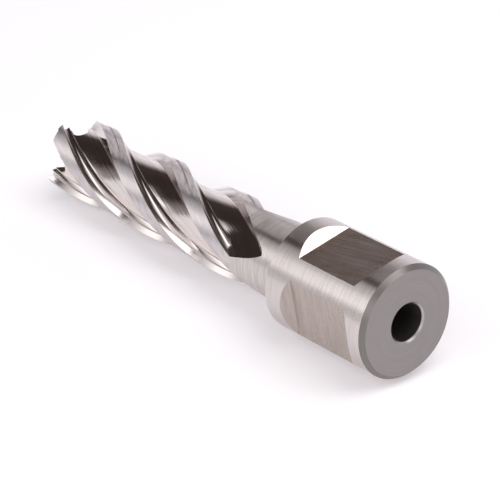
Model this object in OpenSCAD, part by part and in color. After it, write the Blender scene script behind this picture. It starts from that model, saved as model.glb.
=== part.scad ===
// Annular cutter with a two-flat side-lock shank, ground from one bar of high speed steel.
// It stands on the shank's end face, teeth up. The X axis leaves through the first flat.

/* [Shank] */
// Diameter of the shank
shank_d = 19.05; // [16:0.05:32]
// Length of the shank, from its end face to the shoulder
shank_l = 23; // [22:0.5:40]
// Chamfer at the end face's rim
rim_chamfer = 0.75; // [0.2:0.05:1.5]
// Broken edge at the shoulder
shoulder_chamfer = 0.2; // [0.1:0.05:0.5]

/* [Drive flats] */
// Depth of each flat below the shank's surface
flat_depth = 1.6; // [0.8:0.1:2]
// Height of the flats' lower end above the end face
flat_z = 4.9; // [3.5:0.1:6]
// Length of the level part of each flat
flat_l = 12.85; // [8:0.05:13]
// Angle between the two flats
flats_apart = 90; // [60:5:120]

/* [Neck] */
// Diameter of the neck between shank and flutes
neck_d = 13.44; // [12:0.02:13.8]
// Length of the neck, from the shoulder to where it widens
neck_l = 10; // [8:0.5:12]
// Length over which it widens to the cutting diameter
neck_taper_l = 7; // [3:0.5:8]

/* [Cutting end] */
// Cutting diameter, across the margins
cutting_d = 14; // [13.8:0.1:15]
// Length from the shoulder to the outer cutting corners
body_l = 64; // [50:1:90]
// Axial length of one full turn of a flute
flute_lead = 77.2; // [60:0.2:110]
// Angle of the first tooth's outer cutting corner from the X axis
first_tooth = -12; // [-45:1:45]
// Angle of one tooth's land, margin included
land_angle = 26; // [22:1:32]
// Angle of the margin behind each cutting edge
margin_angle = 10; // [6:1:16]
// Depth of the cleared land below the margin
land_clearance = 0.2; // [0.1:0.05:0.25]

/* [Flutes] */
// Radius of the flute's floor at its deepest
floor_r = 5; // [4.7:0.05:5.3]
// Radius of the ledge's lip, part way down the cutting face
ledge_r = 5.75; // [5.6:0.05:6]
// Rise of the ledge from its lip to the upper face's foot
ledge_rise = 0.25; // [0.1:0.05:0.4]
// Angle over which the ledge steps forward
ledge_angle = 9; // [6:1:12]
// Angle of the foot of the lower face
face_foot_angle = 1; // [0.5:0.5:3]
// Angle over which the land's heel rises from the floor
heel_angle = 8; // [4:1:12]
// Radius of the grinding wheel that runs out at the flute's end
wheel_r = 31; // [25:1:40]
// Height of the wheel's centre above the shoulder where the flute ends
runout_up = 15; // [13:0.5:20]
// Angle from cutting edge to the wheel's centre line
wheel_angle = 26; // [22:1:30]

/* [Teeth] */
// Height of the inner cutting point above the outer corner
inner_point_rise = 0; // [0:0.1:1]
// Fall of the outer edge towards its inner end, in degrees
outer_edge_fall = 30; // [15:1:40]
// Fall of the inner edge towards the bore, in degrees
inner_edge_fall = 20; // [5:1:30]
// Relief behind the cutting edges, in degrees
relief = 6; // [4:1:12]
// Depth of the gullet between two teeth
gullet_depth = 3.3; // [2:0.1:5]
// Width of the gullet
gullet_w = 2.8; // [2.2:0.1:3.6]
// Angle from cutting edge to the gullet's middle
gullet_angle = 29; // [25:1:33]

/* [Bores] */
// Diameter of the pilot pin's bore
pilot_d = 6.4; // [4:0.1:7]
// Chamfer at the pilot bore's mouth
pilot_chamfer = 0.3; // [0.1:0.05:0.6]
// Diameter of the bore that takes the slug
core_d = 7.4; // [7.2:0.1:8]
// Depth of that bore below the outer cutting corners
core_l = 52; // [40:1:52]

/* [Hidden] */
$fn = 96;
teeth = 4;
shank_r = shank_d / 2;
neck_r = neck_d / 2;
cutting_r = cutting_d / 2;
core_r = core_d / 2;
pilot_r = pilot_d / 2;
neck_top_z = shank_l + neck_l;
body_z = neck_top_z + neck_taper_l;
overall_l = shank_l + body_l;
runout_z = shank_l + runout_up;
point_z = overall_l + inner_point_rise;
tooth_pitch = 360 / teeth;
turn_per_mm = 360 / flute_lead;
heel_a = tooth_pitch - land_angle;
cleared_r = cutting_r - land_clearance;
// The outer cutting edge ends and the inner one begins where the upper face meets the ledge
edge_split_r = ledge_r + ledge_rise;
// The cutting tools reach this far past the surface that they cut
reach = 1;
// The tooth ends are ground to this far ahead of their edges, and their two parts overlap a little
edge_lead = 0.8;
end_overlap = 0.05;
clear_r = cutting_r + reach;
cap_r = clear_r + reach;
blank_top_z = point_z + end_overlap;
flute_top_z = blank_top_z + reach;
// Helix angle at the cutting diameter and at the flute's floor
wheel_helix = atan(2 * PI * cutting_r / flute_lead);
floor_helix = atan(2 * PI * floor_r / flute_lead);
// Sections of the flute: close together in the run-out, wider above it
runout_below = 11;
runout_above = 8;
runout_step = 1.5;
helix_step = 3;
floor_steps = 6;
cleared_steps = 2;
cap_steps = 3;
// Passes of the wheel that are looked at for one section, and the widest angle that a pass cuts
wheel_step = 0.5;
wheel_span = 7;
widest_cut = 60;

// Angle of a tooth's cutting edge at height z, from the first tooth's corner
function edge_turn(z) = (z - overall_l) * turn_per_mm;

// Radius that the wheel leaves at height z and angle a from its centre line, with its centre at height c
function wheel_cut(z, a, c) =
    let (along = (z - c) * cos(wheel_helix) + floor_r * tan(a) * sin(wheel_helix))
    (floor_r + along * along / (2 * wheel_r)) / cos(a);

// Radius of the floor at height z and angle a from the cutting edge, after every pass of the wheel
function floor_at(z, a) =
    let (first = max(runout_z, z - wheel_span))
    min([for (c = [first : wheel_step : first + 2 * wheel_span])
        let (off = a - wheel_angle - (c - z) * turn_per_mm)
        abs(off) < widest_cut ? min(wheel_cut(z, off, c), clear_r) : clear_r]);

// One section of the tool that cuts a flute and the cleared land beside it: pairs of angle and radius
function flute_section(z) =
    let (
        foot_a = ledge_angle + face_foot_angle,
        heel_foot_a = heel_a - heel_angle,
        heel_floor = floor_at(z, heel_foot_a)
    )
    concat(
        [[0, cap_r]],
        [[0, max(edge_split_r, floor_at(z, 0))]],
        [[ledge_angle / 2, max(ledge_r, floor_at(z, ledge_angle / 2))]],
        [[ledge_angle, max(ledge_r, floor_at(z, ledge_angle))]],
        [for (i = [0 : floor_steps])
            let (a = foot_a + (heel_foot_a - foot_a) * i / floor_steps)
            [a, floor_at(z, a)]],
        [for (i = [0 : cleared_steps])
            [heel_a + (land_angle - margin_angle) * i / cleared_steps, max(cleared_r, heel_floor)]],
        [for (i = [cap_steps : -1 : 1])
            [(tooth_pitch - margin_angle) * i / cap_steps, cap_r]]
    );

// A section's points in space
function section_points(z) =
    [for (p = flute_section(z))
        let (a = p[0] + edge_turn(z))
        [p[1] * cos(a), p[1] * sin(a), z]];

flute_zs = concat(
    [for (z = [runout_z - runout_below : runout_step : runout_z + runout_above]) z],
    [for (z = [runout_z + runout_above + helix_step : helix_step : flute_top_z]) z],
    [flute_top_z + helix_step]
);

// Solid that cuts one flute: rings of points joined by triangles, closed at both ends
module flute_cutter() {
    rings = [for (z = flute_zs) section_points(z)];
    n = len(rings[0]);
    last = len(rings) - 1;
    points = [for (ring = rings) for (p = ring) p];
    walls = [for (i = [0 : last - 1]) for (j = [0 : n - 1])
        let (k = (j + 1) % n)
        each [[i * n + j, i * n + k, (i + 1) * n + j],
              [i * n + k, (i + 1) * n + k, (i + 1) * n + j]]];
    ends = [[for (j = [n - 1 : -1 : 0]) j], [for (j = [0 : n - 1]) last * n + j]];
    polyhedron(points = points, faces = concat(walls, ends), convexity = 6);
}

// Turned blank: shank, shoulder, neck and body
module blank() {
    rotate_extrude()
        polygon([
            [0, 0],
            [shank_r - rim_chamfer, 0],
            [shank_r, rim_chamfer],
            [shank_r, shank_l - shoulder_chamfer],
            [shank_r - shoulder_chamfer, shank_l],
            [neck_r, shank_l],
            [neck_r, neck_top_z],
            [cutting_r, body_z],
            [cutting_r, blank_top_z],
            [0, blank_top_z]
        ]);
}

// Flat with sloping ends, milled across the shank on the +X side
module drive_flat() {
    rise = flat_depth + reach;
    floor_x = shank_r - flat_depth;
    translate([0, shank_d / 2, 0])
        rotate([90, 0, 0])
            linear_extrude(shank_d)
                polygon([
                    [floor_x, flat_z],
                    [floor_x, flat_z + flat_l],
                    [floor_x + rise, flat_z + flat_l + rise],
                    [floor_x + rise, flat_z - rise]
                ]);
}

// Pilot bore with its mouth chamfer, and the wider bore for the slug
module bores() {
    translate([0, 0, -reach])
        cylinder(h = blank_top_z + 2 * reach, r = pilot_r);
    translate([0, 0, -reach])
        cylinder(h = reach + pilot_chamfer, r1 = pilot_r + pilot_chamfer + reach, r2 = pilot_r);
    translate([0, 0, overall_l - core_l])
        cylinder(h = core_l + 2 * reach + inner_point_rise, r = core_r);
}

// Round-bottomed gullet through the ring between two teeth, leaning with the helix
module gullet() {
    half_w = gullet_w / 2;
    centre_z = overall_l - gullet_depth + half_w;
    rotate([0, 0, gullet_angle + edge_turn(centre_z)])
        translate([0, 0, centre_z])
            rotate([-floor_helix, 0, 0]) {
                rotate([0, 90, 0])
                    cylinder(h = clear_r, r = half_w);
                translate([0, -half_w, 0])
                    cube([clear_r, gullet_w, gullet_depth + 4 * reach]);
            }
}

// Block above a cutting edge: its lower face passes through a point at radius r and height z,
// falls away behind the edge by the relief and inwards by the given angle, both turned back a little
module relief_block(r, z, fall, back) {
    size = 2 * cutting_r;
    translate([r, 0, z])
        rotate([relief, 0, -back])
            rotate([0, -fall, 0])
                translate([core_r / 2 - r, -size, 0])
                    cube([size, size + edge_lead, size]);
}

// Ground end of one tooth: outer edge, then the inner edge from its point towards the bore
module tooth_end() {
    difference() {
        relief_block(cutting_r, overall_l, outer_edge_fall, land_angle / 2);
        cylinder(h = 2 * overall_l, r = edge_split_r);
    }
    rotate([0, 0, ledge_angle])
        intersection() {
            relief_block(edge_split_r, point_z, inner_edge_fall, 0);
            cylinder(h = 2 * overall_l, r = edge_split_r + end_overlap);
        }
}

module annular_cutter() {
    color("lightgray")
        difference() {
            blank();
            drive_flat();
            rotate([0, 0, -flats_apart])
                drive_flat();
            bores();
            for (i = [0 : teeth - 1])
                rotate([0, 0, first_tooth + i * tooth_pitch]) {
                    flute_cutter();
                    gullet();
                    tooth_end();
                }
        }
}

annular_cutter();
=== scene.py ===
"""Looks of an annular cutter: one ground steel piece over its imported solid, in a pale studio."""
import math

import bmesh
import bpy
from mathutils import Matrix, Vector


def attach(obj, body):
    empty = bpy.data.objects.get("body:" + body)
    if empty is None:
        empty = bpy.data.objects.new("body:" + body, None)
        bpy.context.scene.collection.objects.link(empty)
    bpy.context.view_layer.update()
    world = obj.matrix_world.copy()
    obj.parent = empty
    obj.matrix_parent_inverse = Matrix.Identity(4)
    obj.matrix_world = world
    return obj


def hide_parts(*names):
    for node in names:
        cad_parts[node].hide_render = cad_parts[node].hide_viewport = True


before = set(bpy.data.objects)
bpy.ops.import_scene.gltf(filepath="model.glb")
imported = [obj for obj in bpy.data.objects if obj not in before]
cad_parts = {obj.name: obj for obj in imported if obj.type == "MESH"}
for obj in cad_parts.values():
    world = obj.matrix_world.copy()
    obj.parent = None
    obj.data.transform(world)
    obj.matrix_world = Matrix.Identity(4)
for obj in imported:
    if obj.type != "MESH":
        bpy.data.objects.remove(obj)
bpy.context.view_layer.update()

# One millimetre in metres
MM = 0.001

# Sizes of the cutter in millimetres, and the turn between its flats in degrees, as in the part's source
SHANK_R = 9.525
SHANK_L = 23.0
RIM_CHAMFER = 0.75
SHOULDER_CHAMFER = 0.2
FLAT_DEPTH = 1.6
FLAT_Z = 4.9
FLAT_L = 12.85
FLATS_APART = 90.0
NECK_R = 6.72
NECK_TOP_Z = 33.0
BODY_Z = 40.0
CUTTING_R = 7.0
OVERALL_L = 87.0
PILOT_R = 3.2
PILOT_CHAMFER = 0.3
CORE_R = 3.7
CORE_FLOOR_Z = 35.0

# Flutes and lands: angles in degrees from a tooth's cutting edge, in the direction of cutting
TEETH = 4
PITCH = 360 / TEETH
LEAD = 77.2
FIRST_TOOTH = -12.0
LAND_ANGLE = 26.0
MARGIN_ANGLE = 10.0
CLEARED_ANGLE = LAND_ANGLE - MARGIN_ANGLE
CLEARED_R = 6.8
FLOOR_R = 5.0
LEDGE_R = 5.75
LEDGE_RISE = 0.25
LEDGE_ANGLE = 9.0
FACE_FOOT_ANGLE = 1.0
FOOT_A = LEDGE_ANGLE + FACE_FOOT_ANGLE
HEEL_ANGLE = 8.0
HEEL_A = PITCH - LAND_ANGLE
HEEL_FOOT_A = HEEL_A - HEEL_ANGLE
EDGE_SPLIT_R = LEDGE_R + LEDGE_RISE

# Grinding wheel: its passes for one section, the widest angle that a pass cuts, and where it runs out
WHEEL_R = 31.0
WHEEL_ANGLE = 26.0
WHEEL_SPAN = 7.0
WHEEL_STEP = 0.25
WIDEST_CUT = 60.0
RUNOUT_Z = 38.0
RUNOUT_BELOW = 11.0
SETTLED_Z = RUNOUT_Z + 15.0

# Tooth ends
OUTER_FALL = 30.0
INNER_FALL = 20.0
RELIEF = 6.0
RELIEF_SPAN = 75.0
EDGE_LEAD = 0.8
END_OVERLAP = 0.05
INNER_TOOL_R = 2.0
GULLET_DEPTH = 3.3
GULLET_W = 2.8
GULLET_ANGLE = 29.0

# The cutting tools reach past the surface that they cut
REACH = 1.0
CLEAR_R = CUTTING_R + REACH
CAP_R = CLEAR_R + REACH
FACE_TOP_R = CUTTING_R + 0.1
BLANK_TOP_Z = OVERALL_L + END_OVERLAP
TOOL_TOP_Z = BLANK_TOP_Z + 2 * REACH

# Helix of the flutes
TURN_PER_MM = 360 / LEAD
TURN_PER_METRE = 2 * math.pi / (LEAD * MM)
WHEEL_HELIX = math.atan(2 * math.pi * CUTTING_R / LEAD)
FLOOR_HELIX = math.atan(2 * math.pi * FLOOR_R / LEAD)

# Fineness of the meshes: lengths in millimetres, an angle in degrees and counts of steps
OUTSIDE_STEP = 0.6
INSIDE_STEP = 2.5
FLUTE_STEP = 0.4
GULLET_ARC_STEP = 6
GULLET_STEPS = 4
AROUND = 256
FACE_STEPS = 5
LEDGE_STEPS = 8
LEDGE_BEND_STEPS = 5
LIP_STEPS = 5
FLOOR_STEPS = 26
HEEL_STEPS = 6
CLEARED_STEPS = 7
CAP_STEPS = 6
RELIEF_STEPS = 40


def polar(r, degrees, z):
    a = math.radians(degrees)
    return (r * math.cos(a), r * math.sin(a), z)


def about_z(degrees):
    return Matrix.Rotation(math.radians(degrees), 4, "Z")


def turned_out(mesh):
    """Turns the faces of a closed mesh outwards."""
    shell = bmesh.new()
    shell.from_mesh(mesh)
    if shell.calc_volume(signed=True) < 0:
        bmesh.ops.reverse_faces(shell, faces=shell.faces[:])
        shell.to_mesh(mesh)
    shell.free()


def mesh_object(name, verts, faces):
    mesh = bpy.data.meshes.new(name)
    mesh.from_pydata(verts, [], faces)
    turned_out(mesh)
    obj = bpy.data.objects.new(name, mesh)
    bpy.context.scene.collection.objects.link(obj)
    return obj


def ring_solid(name, rings):
    """Closed solid from rings of points, joined in their order and capped at both ends."""
    n = len(rings[0])
    verts = [p for ring in rings for p in ring]
    faces = []
    for i in range(len(rings) - 1):
        for j in range(n):
            k = (j + 1) % n
            faces.append((i * n + j, i * n + k, (i + 1) * n + k, (i + 1) * n + j))
    faces.append(tuple(range(n - 1, -1, -1)))
    faces.append(tuple((len(rings) - 1) * n + j for j in range(n)))
    return mesh_object(name, verts, faces)


# Turned blank, with its bores
def stepped(a, b, step):
    """Points from a up to b, without b, at most step apart."""
    n = max(1, math.ceil(math.dist(a, b) / step))
    return [tuple(p + (q - p) * i / n for p, q in zip(a, b)) for i in range(n)]


def turned_blank():
    corners = [
        (PILOT_R + PILOT_CHAMFER, 0),
        (SHANK_R - RIM_CHAMFER, 0),
        (SHANK_R, RIM_CHAMFER),
        (SHANK_R, SHANK_L - SHOULDER_CHAMFER),
        (SHANK_R - SHOULDER_CHAMFER, SHANK_L),
        (NECK_R, SHANK_L),
        (NECK_R, NECK_TOP_Z),
        (CUTTING_R, BODY_Z),
        (CUTTING_R, BLANK_TOP_Z),
        (CORE_R, BLANK_TOP_Z),
        (CORE_R, CORE_FLOOR_Z),
        (PILOT_R, CORE_FLOOR_Z),
        (PILOT_R, PILOT_CHAMFER),
    ]
    profile = []
    for a, b in zip(corners, corners[1:] + corners[:1]):
        outside = min(a[0], b[0]) > CORE_R
        profile += stepped(a, b, OUTSIDE_STEP if outside else INSIDE_STEP)
    n = len(profile)
    verts = [polar(r, 360 * i / AROUND, z) for i in range(AROUND) for r, z in profile]
    faces = []
    for i in range(AROUND):
        m = (i + 1) % AROUND
        for j in range(n):
            k = (j + 1) % n
            faces.append((i * n + j, m * n + j, m * n + k, i * n + k))
    return mesh_object("annular_cutter_piece", verts, faces)


# Tools that cut the blank
def flat_tool(name, turn):
    """Block with sloping ends, across the shank."""
    rise = FLAT_DEPTH + REACH
    x = SHANK_R - FLAT_DEPTH
    profile = [
        (x, FLAT_Z + FLAT_L),
        (x, FLAT_Z),
        (x + rise, FLAT_Z - rise),
        (x + rise, FLAT_Z + FLAT_L + rise),
    ]
    rings = [[(px, y, pz) for px, pz in profile] for y in (SHANK_R, -SHANK_R)]
    tool = ring_solid(name, rings)
    tool.data.transform(about_z(turn))
    return tool


def edge_turn(z):
    """Angle of a cutting edge at that height, from its outer corner."""
    return (z - OVERALL_L) * TURN_PER_MM


def wheel_cut(z, off, centre):
    """Radius that the grinding wheel leaves, with its centre at that height."""
    a = math.radians(off)
    along = (z - centre) * math.cos(WHEEL_HELIX) + FLOOR_R * math.tan(a) * math.sin(WHEEL_HELIX)
    return (FLOOR_R + along * along / (2 * WHEEL_R)) / math.cos(a)


def floor_at(z, a):
    """Radius of the flute's floor after every pass of the wheel."""
    first = max(RUNOUT_Z, z - WHEEL_SPAN)
    best = CLEAR_R
    for i in range(int(2 * WHEEL_SPAN / WHEEL_STEP) + 1):
        centre = first + WHEEL_STEP * i
        off = a - WHEEL_ANGLE - (centre - z) * TURN_PER_MM
        if abs(off) < WIDEST_CUT:
            best = min(best, wheel_cut(z, off, centre))
    return best


def flute_section(z):
    """Angle and radius of each point of the flute tool's section at one height."""
    section = [(0, CAP_R)]
    edge_floor = floor_at(z, 0)
    for i in range(FACE_STEPS + 1):
        r = FACE_TOP_R + (EDGE_SPLIT_R - FACE_TOP_R) * i / FACE_STEPS
        section.append((0, max(r, edge_floor)))
    for i in range(1, LEDGE_STEPS + 1):
        a = LEDGE_ANGLE * i / LEDGE_STEPS
        ledge = LEDGE_R + LEDGE_RISE * max(0, 1 - i / LEDGE_BEND_STEPS) ** 2
        section.append((a, max(ledge, floor_at(z, a))))
    lip = max(LEDGE_R, floor_at(z, LEDGE_ANGLE))
    foot = floor_at(z, FOOT_A)
    for i in range(1, LIP_STEPS + 1):
        u = math.radians(90 * i / LIP_STEPS)
        a = LEDGE_ANGLE + FACE_FOOT_ANGLE * (1 - math.cos(u))
        section.append((a, lip + (foot - lip) * math.sin(u)))
    for i in range(1, FLOOR_STEPS + 1):
        a = FOOT_A + (HEEL_FOOT_A - FOOT_A) * i / FLOOR_STEPS
        section.append((a, floor_at(z, a)))
    heel_floor = floor_at(z, HEEL_FOOT_A)
    heel_rise = max(0, CLEARED_R - heel_floor)
    for i in range(1, HEEL_STEPS + 1):
        a = HEEL_FOOT_A + HEEL_ANGLE * i / HEEL_STEPS
        section.append((a, heel_floor + heel_rise * i / HEEL_STEPS))
    for i in range(1, CLEARED_STEPS + 1):
        a = HEEL_A + CLEARED_ANGLE * i / CLEARED_STEPS
        section.append((a, max(CLEARED_R, heel_floor)))
    for i in range(CAP_STEPS, 0, -1):
        section.append(((PITCH - MARGIN_ANGLE) * i / CAP_STEPS, CAP_R))
    return section


def flute_tool():
    """One flute and the cleared land beside it, with sections that no longer change above the run-out."""
    bottom = RUNOUT_Z - RUNOUT_BELOW
    settled = flute_section(SETTLED_Z)
    rings = []
    for i in range(int((TOOL_TOP_Z - bottom) / FLUTE_STEP) + 2):
        z = bottom + FLUTE_STEP * i
        section = settled if z > SETTLED_Z else flute_section(z)
        rings.append([polar(r, a + edge_turn(z), z) for a, r in section])
    return ring_solid("flute_tool", rings)


def gullet_tool():
    """Round-bottomed slot through the ring between two teeth."""
    half = GULLET_W / 2
    top = GULLET_DEPTH + 4 * REACH
    profile = []
    for degrees in range(-180, 1, GULLET_ARC_STEP):
        a = math.radians(degrees)
        profile.append((half * math.cos(a), half * math.sin(a)))
    profile += [(half, top), (-half, top)]
    reaches = [CLEAR_R * i / GULLET_STEPS for i in range(GULLET_STEPS + 1)]
    rings = [[(x, py, pz) for py, pz in profile] for x in reaches]
    tool = ring_solid("gullet_tool", rings)
    centre_z = OVERALL_L - GULLET_DEPTH + half
    place = about_z(GULLET_ANGLE + edge_turn(centre_z))
    place = place @ Matrix.Translation((0, 0, centre_z))
    place = place @ Matrix.Rotation(-FLOOR_HELIX, 4, "X")
    tool.data.transform(place)
    return tool


def relief_tool(name, edge_r, fall, back, r_low, r_high, turn):
    """Sector above a cutting edge, with the ground relief, turned back by an angle, as its lower face."""
    inward = math.tan(math.radians(fall)) / math.cos(math.radians(RELIEF))
    behind = math.tan(math.radians(RELIEF))
    front = math.degrees(math.asin(EDGE_LEAD / edge_r))
    angles = [front - (RELIEF_SPAN + front) * i / RELIEF_STEPS for i in range(RELIEF_STEPS, -1, -1)]
    outline = [polar(r_high, a, 0) for a in angles] + [polar(r_low, a, 0) for a in reversed(angles)]
    c = math.cos(math.radians(back))
    s = math.sin(math.radians(back))
    low = []
    for x, y, _ in outline:
        dx = x - edge_r
        low.append((x, y, OVERALL_L + (dx * c - y * s) * inward + (dx * s + y * c) * behind))
    high = [(x, y, TOOL_TOP_Z + 2 * REACH) for x, y, _ in outline]
    tool = ring_solid(name, [low, high])
    tool.data.transform(about_z(turn))
    return tool


def cut_all_round(name, tools):
    """Geometry nodes that cut the given tools once for each tooth."""
    tree = bpy.data.node_groups.new(name, "GeometryNodeTree")
    inputs = [
        ("Geometry", "NodeSocketGeometry"),
        ("Teeth", "NodeSocketInt"),
        ("First tooth", "NodeSocketFloat"),
        ("Steel", "NodeSocketMaterial"),
    ]
    inputs += [(tool.name, "NodeSocketObject") for tool in tools]
    for label, kind in inputs:
        tree.interface.new_socket(label, in_out="INPUT", socket_type=kind)
    tree.interface.new_socket("Geometry", in_out="OUTPUT", socket_type="NodeSocketGeometry")
    add = tree.nodes.new
    link = tree.links.new
    given = add("NodeGroupInput")
    out = add("NodeGroupOutput")
    start = add("GeometryNodeRepeatInput")
    end = add("GeometryNodeRepeatOutput")
    start.pair_with_output(end)
    link(given.outputs["Teeth"], start.inputs["Iterations"])
    link(given.outputs["Geometry"], start.inputs["Geometry"])
    pitch = add("ShaderNodeMath")
    pitch.operation = "DIVIDE"
    pitch.inputs[0].default_value = 2 * math.pi
    link(given.outputs["Teeth"], pitch.inputs[1])
    turn = add("ShaderNodeMath")
    turn.operation = "MULTIPLY_ADD"
    link(start.outputs["Iteration"], turn.inputs[0])
    link(pitch.outputs[0], turn.inputs[1])
    link(given.outputs["First tooth"], turn.inputs[2])
    about = add("ShaderNodeCombineXYZ")
    link(turn.outputs[0], about.inputs["Z"])
    piece = start.outputs["Geometry"]
    for tool in tools:
        info = add("GeometryNodeObjectInfo")
        link(given.outputs[tool.name], info.inputs["Object"])
        place = add("GeometryNodeTransform")
        link(info.outputs["Geometry"], place.inputs["Geometry"])
        link(about.outputs[0], place.inputs["Rotation"])
        cut = add("GeometryNodeMeshBoolean")
        cut.operation = "DIFFERENCE"
        cut.solver = "MANIFOLD"
        link(piece, cut.inputs["Mesh 1"])
        link(place.outputs["Geometry"], cut.inputs["Mesh 2"])
        piece = cut.outputs["Mesh"]
    link(piece, end.inputs["Geometry"])
    real = add("GeometryNodeRealizeInstances")
    paint = add("GeometryNodeSetMaterial")
    link(end.outputs["Geometry"], real.inputs["Geometry"])
    link(real.outputs["Geometry"], paint.inputs["Geometry"])
    link(given.outputs["Steel"], paint.inputs["Material"])
    link(paint.outputs["Geometry"], out.inputs["Geometry"])
    return tree


def set_inputs(modifier, tree, values):
    for item in tree.interface.items_tree:
        if item.in_out == "INPUT" and item.name in values:
            modifier[item.identifier] = values[item.name]


def made_plain(obj):
    """Puts the object's evaluated mesh in place of its own, and removes its modifiers."""
    bpy.context.view_layer.update()
    evaluated = obj.evaluated_get(bpy.context.evaluated_depsgraph_get())
    mesh = bpy.data.meshes.new_from_object(evaluated)
    obj.modifiers.clear()
    obj.data = mesh


def ground_cutter(steel):
    piece = turned_blank()
    flats = [flat_tool("flat_tool_1", 0), flat_tool("flat_tool_2", -FLATS_APART)]
    for tool in flats:
        cut = piece.modifiers.new(tool.name, "BOOLEAN")
        cut.operation = "DIFFERENCE"
        cut.solver = "MANIFOLD"
        cut.object = tool
    outer = relief_tool(
        "outer_edge_tool",
        edge_r=CUTTING_R,
        fall=OUTER_FALL,
        back=LAND_ANGLE / 2,
        r_low=EDGE_SPLIT_R,
        r_high=CAP_R,
        turn=0,
    )
    inner = relief_tool(
        "inner_edge_tool",
        edge_r=EDGE_SPLIT_R,
        fall=INNER_FALL,
        back=0,
        r_low=INNER_TOOL_R,
        r_high=EDGE_SPLIT_R + END_OVERLAP,
        turn=LEDGE_ANGLE,
    )
    tools = [flute_tool(), gullet_tool(), outer, inner]
    tree = cut_all_round("cut_teeth", tools)
    teeth = piece.modifiers.new("teeth", "NODES")
    teeth.node_group = tree
    values = {tool.name: tool for tool in tools}
    values.update({"Teeth": TEETH, "First tooth": math.radians(FIRST_TOOTH), "Steel": steel})
    set_inputs(teeth, tree, values)
    made_plain(piece)
    for tool in flats + tools:
        bpy.data.meshes.remove(tool.data)
    piece.data.transform(Matrix.Scale(MM, 4))
    return piece


# Finishes of the steel
STEEL = (0.67, 0.62, 0.605)
WARM_STEEL = (0.6, 0.52, 0.475)
COOL_STEEL = (0.655, 0.61, 0.615)
# Detail and roughness of the noises, and the part of their range that is used
LINE_DETAIL = 3.0
PATCH_DETAIL = 2.0
NOISE_ROUGHNESS = 0.6
NOISE_LOW = 0.3
NOISE_HIGH = 0.7
# Patches for each metre, and how far they change the roughness
PATCHES = 300
PATCH_SMOOTHER = 0.92
PATCH_ROUGHER = 1.1
QUARTER_TURN = 0.25


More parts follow.
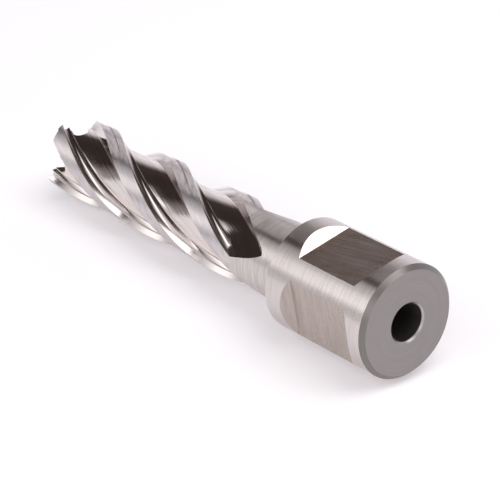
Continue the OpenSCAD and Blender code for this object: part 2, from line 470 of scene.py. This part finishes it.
class Finish:
    """One steel finish: a metal whose fine tool lines follow the way that it was cut."""

    def __init__(self, name, tint, roughness, colour=STEEL):
        self.material = bpy.data.materials.new(name)
        self.material.use_nodes = True
        self.nodes = self.material.node_tree.nodes
        self.links = self.material.node_tree.links
        self.shader = self.nodes["Principled BSDF"]
        self.shader.inputs["Metallic"].default_value = 1.0
        self.tint = [min(1, c * tint) for c in colour]
        self.roughness = roughness
        self.place = self.nodes.new("ShaderNodeTexCoord").outputs["Object"]

    def math(self, operation, *values):
        node = self.nodes.new("ShaderNodeMath")
        node.operation = operation
        for socket, value in zip(node.inputs, values):
            if isinstance(value, bpy.types.NodeSocket):
                self.links.new(value, socket)
            else:
                socket.default_value = value
        return node.outputs[0]

    def times(self, a, b):
        return self.math("MULTIPLY", a, b)

    def xyz(self):
        node = self.nodes.new("ShaderNodeSeparateXYZ")
        self.links.new(self.place, node.inputs[0])
        return node.outputs

    def join(self, x, y, z):
        node = self.nodes.new("ShaderNodeCombineXYZ")
        for socket, value in zip(node.inputs, (x, y, z)):
            self.links.new(value, socket)
        return node.outputs[0]

    def stretched(self, x, y, z, lean=0):
        """Place stretched along each axis, after leaning it by some degrees about the X axis."""
        turned = self.nodes.new("ShaderNodeMapping")
        turned.inputs["Rotation"].default_value = (math.radians(lean), 0, 0)
        self.links.new(self.place, turned.inputs["Vector"])
        node = self.nodes.new("ShaderNodeMapping")
        node.inputs["Scale"].default_value = (x, y, z)
        self.links.new(turned.outputs["Vector"], node.inputs["Vector"])
        return node.outputs["Vector"]

    def about_axis(self, along, across):
        """Place by radius, and a little by X and Y, for turned faces."""
        x, y, _ = self.xyz()
        r = self.math("SQRT", self.math("ADD", self.times(x, x), self.times(y, y)))
        return self.join(self.times(r, across), self.times(x, along), self.times(y, along))

    def along_flute(self, along, across):
        """Place by the angle from the flutes' helix and by height, for what was ground along the flutes."""
        x, y, z = self.xyz()
        turn = self.math("SUBTRACT", self.math("ARCTAN2", y, x), self.times(z, TURN_PER_METRE))
        phase = self.times(turn, TEETH / 2)
        width = across * CUTTING_R * MM / 2
        sine = self.times(self.math("SINE", phase), width)
        cosine = self.times(self.math("COSINE", phase), width)
        return self.join(sine, cosine, self.times(z, along))

    def noise(self, vector, detail):
        node = self.nodes.new("ShaderNodeTexNoise")
        node.inputs["Scale"].default_value = 1.0
        node.inputs["Detail"].default_value = detail
        node.inputs["Roughness"].default_value = NOISE_ROUGHNESS
        self.links.new(vector, node.inputs["Vector"])
        return node.outputs["Fac"]

    def spread(self, value, low, high):
        """A noise spread out from low to high."""
        node = self.nodes.new("ShaderNodeMapRange")
        node.inputs["From Min"].default_value = NOISE_LOW
        node.inputs["From Max"].default_value = NOISE_HIGH
        node.inputs["To Min"].default_value = low
        node.inputs["To Max"].default_value = high
        self.links.new(value, node.inputs["Value"])
        return node.outputs["Result"]

    def drawn_out(self):
        """Highlights drawn out along the axis, as on steel that was ground around it."""
        self.shader.inputs["Anisotropic"].default_value = 1.0
        self.shader.inputs["Anisotropic Rotation"].default_value = QUARTER_TURN
        tangent = self.nodes.new("ShaderNodeTangent")
        tangent.direction_type = "RADIAL"
        tangent.axis = "Z"
        self.links.new(tangent.outputs["Tangent"], self.shader.inputs["Tangent"])

    def lines(self, vector, depth, shade):
        """Tool lines: a bump of that depth in millimetres, with a little of the tone and the roughness."""
        grain = self.noise(vector, LINE_DETAIL)
        bump = self.nodes.new("ShaderNodeBump")
        bump.inputs["Strength"].default_value = 1.0
        bump.inputs["Distance"].default_value = depth * MM
        self.links.new(grain, bump.inputs["Height"])
        self.links.new(bump.outputs["Normal"], self.shader.inputs["Normal"])
        tone = self.nodes.new("ShaderNodeMix")
        tone.data_type = "RGBA"
        tone.inputs["A"].default_value = (*[c * (1 - shade) for c in self.tint], 1)
        tone.inputs["B"].default_value = (*[min(1, c * (1 + shade)) for c in self.tint], 1)
        self.links.new(self.spread(grain, 0, 1), tone.inputs["Factor"])
        self.links.new(tone.outputs["Result"], self.shader.inputs["Base Color"])
        patch = self.noise(self.stretched(PATCHES, PATCHES, PATCHES), PATCH_DETAIL)
        rough = self.spread(patch, self.roughness * PATCH_SMOOTHER, self.roughness * PATCH_ROUGHER)
        self.links.new(rough, self.shader.inputs["Roughness"])
        return tone.outputs["Result"]

    def blotches(self, tone, vector, amount):
        """Uneven shine: patches that are a little darker and rougher, or lighter and smoother."""
        patch = self.noise(vector, PATCH_DETAIL)
        uneven = self.nodes.new("ShaderNodeVectorMath")
        uneven.operation = "SCALE"
        self.links.new(tone, uneven.inputs[0])
        self.links.new(self.spread(patch, 1 - amount, 1 + amount), uneven.inputs["Scale"])
        self.links.new(uneven.outputs["Vector"], self.shader.inputs["Base Color"])
        rough = self.spread(patch, self.roughness * (1 + 2 * amount), self.roughness * (1 - 2 * amount))
        self.links.new(rough, self.shader.inputs["Roughness"])


def finishes():
    """All finishes. The numbers that stretch the lines are lines for each metre along an axis."""
    shank = Finish("ground_shank", tint=0.95, roughness=0.23)
    shank.drawn_out()
    shank.lines(shank.stretched(200, 200, 5500), depth=0.001, shade=0.09)
    neck = Finish("turned_neck", tint=0.95, roughness=0.31)
    neck.drawn_out()
    neck.lines(neck.stretched(200, 200, 4000), depth=0.0015, shade=0.16)
    flat = Finish("brushed_flat", tint=1.1, roughness=0.28, colour=WARM_STEEL)
    flat.lines(flat.stretched(300, 2800, 120, lean=-13), depth=0.001, shade=0.22)
    side_flat = Finish("milled_flat", tint=0.74, roughness=0.26, colour=WARM_STEEL)
    side_flat.lines(side_flat.stretched(220, 300, 3000), depth=0.001, shade=0.12)
    # Painted shade: the end face's steel is darkened to under half the shank's, standing in for the shaded
    # table close by that it mirrors
    face = Finish("turned_end_face_painted_shade", tint=0.43, roughness=0.42)
    face.lines(face.about_axis(along=100, across=6000), depth=0.002, shade=0.05)
    # Painted shade: the rim chamfer's steel is darker still, so that it reads as a dull dark band instead
    # of taking the softbox's highlight
    rim = Finish("turned_rim_painted_shade", tint=0.3, roughness=0.34)
    rim.lines(rim.stretched(150, 150, 5000), depth=0.001, shade=0.06)
    floor = Finish("polished_flute", tint=1.05, roughness=0.09)
    floor.lines(floor.along_flute(along=25, across=1200), depth=0.03, shade=0.1)
    land = Finish("ground_land", tint=1.0, roughness=0.36, colour=COOL_STEEL)
    land.drawn_out()
    ground = land.lines(land.along_flute(along=60, across=7000), depth=0.001, shade=0.05)
    land.blotches(ground, land.along_flute(along=450, across=1500), amount=0.1)
    cut = Finish("ground_cutting_face", tint=0.85, roughness=0.18)
    cut.lines(cut.along_flute(along=60, across=7000), depth=0.001, shade=0.06)
    tooth = Finish("ground_tooth_end", tint=0.95, roughness=0.22)
    tooth.lines(tooth.stretched(3500, 3500, 3500), depth=0.001, shade=0.05)
    bore = Finish("drilled_bore", tint=0.6, roughness=0.35)
    bore.lines(bore.stretched(200, 200, 4000), depth=0.004, shade=0.1)
    used = (shank, neck, flat, side_flat, face, rim, floor, land, cut, tooth, bore)
    return [finish.material for finish in used]


SHANK, NECK, FLAT, SIDE_FLAT, FACE, RIM, FLOOR, GROUND_LAND, CUT, TOOTH, BORE = range(11)

# Room for the facets when a face is told from its neighbours: millimetres, then degrees
SLACK = 0.02
FINE_SLACK = 0.01
LAND_SLACK = 0.05
CHAMFER_ROOM = 0.1
PHASE_SLACK = 0.5
FACE_SLACK = 1.0
# Parts of a face's direction that tell which way it looks
DOWNWARD = -0.1
STRAIGHT_DOWN = -0.9
STRAIGHT_UP = 0.99
TOOTH_UP = 0.8
STRAIGHT_OUT = 0.9
LAND_OUT = 0.5
FACE_FORWARD = 0.4
# Edges that bend by more than this many degrees stay sharp
SHARP_ANGLE = 20


def wall_at(z):
    """Radius of the turned blank above the shank."""
    if z < NECK_TOP_Z:
        return NECK_R
    widened = (z - NECK_TOP_Z) / (BODY_Z - NECK_TOP_Z)
    return min(CUTTING_R, NECK_R + (CUTTING_R - NECK_R) * widened)


def phase_at(place):
    """Angle from the cutting edge that lies behind a place."""
    turn = math.degrees(math.atan2(place.y, place.x))
    return (turn - FIRST_TOOTH - edge_turn(place.z)) % PITCH


def shank_zone(x, y, z, normal):
    r = math.hypot(x, y)
    if z < RIM_CHAMFER - SLACK and normal.z < DOWNWARD:
        on_rim = r > SHANK_R - RIM_CHAMFER + SLACK and normal.z > STRAIGHT_DOWN
        return RIM if on_rim else FACE
    low = RIM_CHAMFER + CHAMFER_ROOM
    high = SHANK_L - SHOULDER_CHAMFER - CHAMFER_ROOM
    sunk = max(x, -y) < SHANK_R - FINE_SLACK and r < SHANK_R - SLACK
    if sunk and normal.z < STRAIGHT_UP and low < z < high:
        return FLAT if x > -y else SIDE_FLAT
    return SHANK


def zone(centre, normal):
    """Which finish a face has, by its place in millimetres and its direction."""
    x, y, z = centre
    r = math.hypot(x, y)
    if r < CORE_R + SLACK:
        return BORE
    if z < SHANK_L + FINE_SLACK:
        return shank_zone(x, y, z, normal)
    outward = (normal.x * x + normal.y * y) / r
    forward = (normal.y * x - normal.x * y) / r
    if r > wall_at(z) - SLACK and outward > STRAIGHT_OUT:
        return NECK if z < RUNOUT_Z else GROUND_LAND
    if normal.z > TOOTH_UP:
        return TOOTH
    phase = phase_at(centre)
    if phase > HEEL_A - PHASE_SLACK and r > CLEARED_R - LAND_SLACK and outward > LAND_OUT:
        return GROUND_LAND
    near_edge = phase < FOOT_A or phase > PITCH - FACE_SLACK
    return CUT if near_edge and forward > FACE_FORWARD else FLOOR


def true_normals(mesh):
    """Exact directions on lands and upper cutting faces, where slivers of the cut would show as specks."""
    normals = [Vector(corner.vector) for corner in mesh.corner_normals]
    for face in mesh.polygons:
        centre = face.center / MM
        phase = phase_at(centre)
        at_edge = min(phase, PITCH - phase) < PHASE_SLACK
        on_face = face.material_index == CUT and at_edge and centre.xy.length > EDGE_SPLIT_R
        on_body = face.material_index == GROUND_LAND and centre.z > BODY_Z
        on_land = on_body and face.normal.dot(centre) > 0
        for i in face.loop_indices:
            place = mesh.vertices[mesh.loops[i].vertex_index].co / MM
            out = Vector((place.x, place.y, 0)).normalized()
            if on_face:
                steep = place.xy.length * 2 * math.pi / LEAD
                normals[i] = Vector((-out.y, out.x, -steep)).normalized()
            elif on_land and face.normal.dot(out) > STRAIGHT_OUT:
                normals[i] = out
    mesh.normals_split_custom_set(normals)


materials = finishes()
piece = ground_cutter(materials[SHANK])
piece.data.materials.clear()
for material in materials:
    piece.data.materials.append(material)
for face in piece.data.polygons:
    face.material_index = zone(face.center / MM, face.normal)
piece.data.shade_smooth()
piece.data.set_sharp_from_angle(angle=math.radians(SHARP_ANGLE))
true_normals(piece.data)
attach(piece, "root")
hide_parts("annular_cutter")

# Camera of the photograph, in the part's own frame
EYE = Vector((0.208851, -0.184069, -0.235013))
AIM = Vector((-0.000745, -0.000852, 0.037353))
UP = Vector((0.826346, 0.457849, 0.327913))
LENS = 170.25
SENSOR = 36
FARTHEST = 50


def placed(name, data, place, x, y, z):
    """Adds an object at a place, with its axes along three directions."""
    obj = bpy.data.objects.new(name, data)
    turn = Matrix((x, y, z)).transposed().to_4x4()
    obj.matrix_world = Matrix.Translation(place) @ turn
    bpy.context.scene.collection.objects.link(obj)
    return obj


def photo_camera():
    back = (EYE - AIM).normalized()
    right = UP.cross(back).normalized()
    data = bpy.data.cameras.new("camera")
    data.lens = LENS
    data.sensor_width = SENSOR
    data.clip_end = FARTHEST
    camera = placed("camera", data, EYE, right, back.cross(right), back)
    bpy.context.scene.camera = camera


photo_camera()

# Pale studio, with the table under the lying cutter's low side
TABLE_UP = Vector((0.982, 0.183, -0.0395)).normalized()
TABLE_LEVEL = -0.01043
TABLE_HALF = 3.0
ALONG = (Vector((0, 0, 1)) - TABLE_UP * TABLE_UP.z).normalized()
AWAY = -TABLE_UP.cross(ALONG)
PAPER = (0.82, 0.81, 0.83, 1)
PAPER_GLOW = (1, 0.97, 1, 1)
PAPER_GLOW_STRENGTH = 0.2
PAPER_ROUGHNESS = 0.9

# Lamps: the way to each from the cutter, sizes in metres and power in watts
LAMP_DISTANCE = 0.6
SOFTBOX_WAY = (ALONG * -0.27 + AWAY * 0.18 + TABLE_UP * 0.95).normalized()
SOFTBOX_SIZE = 0.55
SOFTBOX_POWER = 2.8
CARD_WAY = (ALONG * -0.11 - AWAY * 0.34 + TABLE_UP * 0.93).normalized()
CARD_LENGTH = 0.12
CARD_WIDTH = 0.14
CARD_POWER = 0.06

# Brightness of the studio by the angle from the backdrop's foot, up over the cutter and down to the front
STUDIO = [
    (-180, (0.66, 0.64, 0.66)),
    (-175, (1.05, 1.03, 1.08)),
    (10, (1.05, 1.03, 1.08)),
    (36, (0.7, 0.67, 0.7)),
    (48, (0.22, 0.19, 0.185)),
    (58, (0.02, 0.015, 0.014)),
    (109, (0.012, 0.009, 0.008)),
    (118, (0.75, 0.73, 0.75)),
    (132, (1.25, 1.24, 1.26)),
    (142, (1.85, 1.83, 1.83)),
    (157, (1.85, 1.83, 1.83)),
    (168, (0.8, 0.78, 0.8)),
    (180, (0.66, 0.64, 0.66)),
]
# The same beyond the teeth and in front of them, where it is dim
DIM_STUDIO = [
    (-180, (0.5, 0.48, 0.48)),
    (0, (0.005, 0.004, 0.004)),
    (141, (0.005, 0.004, 0.004)),
    (151, (0.09, 0.078, 0.075)),
    (160, (0.2, 0.18, 0.175)),
    (175, (0.34, 0.32, 0.315)),
    (180, (0.5, 0.48, 0.48)),
]
# Which way it gets dim, where that begins and ends, and how far behind the cutter it stops
DIM_SIDE = ALONG * 1.6 - AWAY * 0.12 + TABLE_UP * 0.12
DIM_FROM = 1.225
DIM_TO = 1.27
DIM_BACK = 0.25
# A little light comes from everywhere
EVERYWHERE = (0.035, 0.026, 0.024)


def studio_world():
    world = bpy.data.worlds.new("studio")
    bpy.context.scene.world = world
    world.use_nodes = True
    nodes = world.node_tree.nodes
    link = world.node_tree.links.new
    direction = nodes.new("ShaderNodeTexCoord").outputs["Generated"]

    def part(axis):
        dot = nodes.new("ShaderNodeVectorMath")
        dot.operation = "DOT_PRODUCT"
        dot.inputs[1].default_value = axis
        link(direction, dot.inputs[0])
        return dot.outputs["Value"]

    def share(value, low, high):
        node = nodes.new("ShaderNodeMapRange")
        node.inputs["From Min"].default_value = low
        node.inputs["From Max"].default_value = high
        link(value, node.inputs["Value"])
        return node.outputs["Result"]

    def joined(operation, a, b):
        node = nodes.new("ShaderNodeMath")
        node.operation = operation
        link(a, node.inputs[0])
        link(b, node.inputs[1])
        return node.outputs[0]

    def brightness(given, position):
        ramp = nodes.new("ShaderNodeValToRGB")
        stops = ramp.color_ramp.elements
        while len(stops) < len(given):
            stops.new(0.5)
        for stop, (degrees, colour) in zip(stops, given):
            stop.position = (degrees + 180) / 360
            stop.color = (*colour, 1)
        link(position, ramp.inputs["Fac"])
        return ramp.outputs["Color"]

    away = part(AWAY)
    angle = joined("ARCTAN2", part(TABLE_UP), away)
    position = share(angle, -math.pi, math.pi)
    beyond = share(part(DIM_SIDE), DIM_FROM, DIM_TO)
    front = share(away, DIM_BACK, 0.0)
    dim = nodes.new("ShaderNodeMix")
    dim.data_type = "VECTOR"
    factor, first, second = (s for s in dim.inputs if s.enabled)
    link(joined("MULTIPLY", beyond, front), factor)
    link(brightness(STUDIO, position), first)
    link(brightness(DIM_STUDIO, position), second)
    level = nodes.new("ShaderNodeVectorMath")
    level.operation = "ADD"
    level.inputs[1].default_value = EVERYWHERE
    link(next(s for s in dim.outputs if s.enabled), level.inputs[0])
    soft = nodes["Background"]
    link(level.outputs["Vector"], soft.inputs["Color"])
    white = nodes.new("ShaderNodeBackground")
    white.inputs["Color"].default_value = (1, 1, 1, 1)
    mix = nodes.new("ShaderNodeMixShader")
    link(nodes.new("ShaderNodeLightPath").outputs["Is Camera Ray"], mix.inputs["Fac"])
    link(soft.outputs[0], mix.inputs[1])
    link(white.outputs[0], mix.inputs[2])
    link(mix.outputs[0], nodes["World Output"].inputs["Surface"])


def pale_paper():
    """White paper that is seen from its front only, with a little glow so that it reads as white."""
    material = bpy.data.materials.new("white_paper")
    material.use_nodes = True
    nodes = material.node_tree.nodes
    link = material.node_tree.links.new
    shader = nodes["Principled BSDF"]
    shader.inputs["Base Color"].default_value = PAPER
    shader.inputs["Roughness"].default_value = PAPER_ROUGHNESS
    shader.inputs["Specular IOR Level"].default_value = 0.0
    shader.inputs["Emission Color"].default_value = PAPER_GLOW
    shader.inputs["Emission Strength"].default_value = PAPER_GLOW_STRENGTH
    clear = nodes.new("ShaderNodeBsdfTransparent")
    mix = nodes.new("ShaderNodeMixShader")
    link(nodes.new("ShaderNodeNewGeometry").outputs["Backfacing"], mix.inputs["Fac"])
    link(shader.outputs[0], mix.inputs[1])
    link(clear.outputs[0], mix.inputs[2])
    link(mix.outputs[0], nodes["Material Output"].inputs["Surface"])
    return material


def softbox():
    """Square lamp above the cutter, behind it and to the shank's side."""
    data = bpy.data.lights.new("softbox", "AREA")
    data.shape = "SQUARE"
    data.size = SOFTBOX_SIZE
    data.energy = SOFTBOX_POWER
    axes = SOFTBOX_WAY.to_track_quat("Z", "Y").to_matrix().transposed()
    placed("softbox", data, SOFTBOX_WAY * LAMP_DISTANCE, *axes)


def front_card():
    """Small pale card in front of the softbox, which the cutting faces mirror."""
    data = bpy.data.lights.new("front_card", "AREA")
    data.shape = "RECTANGLE"
    data.size = CARD_LENGTH
    data.size_y = CARD_WIDTH
    data.energy = CARD_POWER
    along = (ALONG - CARD_WAY * CARD_WAY.dot(ALONG)).normalized()
    placed("front_card", data, CARD_WAY * LAMP_DISTANCE, along, CARD_WAY.cross(along), CARD_WAY)


def table():
    signs = ((-1, -1), (1, -1), (1, 1), (-1, 1))
    centre = TABLE_UP * TABLE_LEVEL
    corners = [centre + (ALONG * a + AWAY * b) * TABLE_HALF for a, b in signs]
    mesh = bpy.data.meshes.new("table")
    mesh.from_pydata(corners, [], [(0, 1, 2, 3)])
    if mesh.polygons[0].normal.dot(TABLE_UP) < 0:
        mesh.flip_normals()
    mesh.materials.append(pale_paper())
    obj = bpy.data.objects.new("table", mesh)
    bpy.context.scene.collection.objects.link(obj)


studio_world()
softbox()
front_card()
table()

bpy.context.scene.view_settings.view_transform = "Standard"
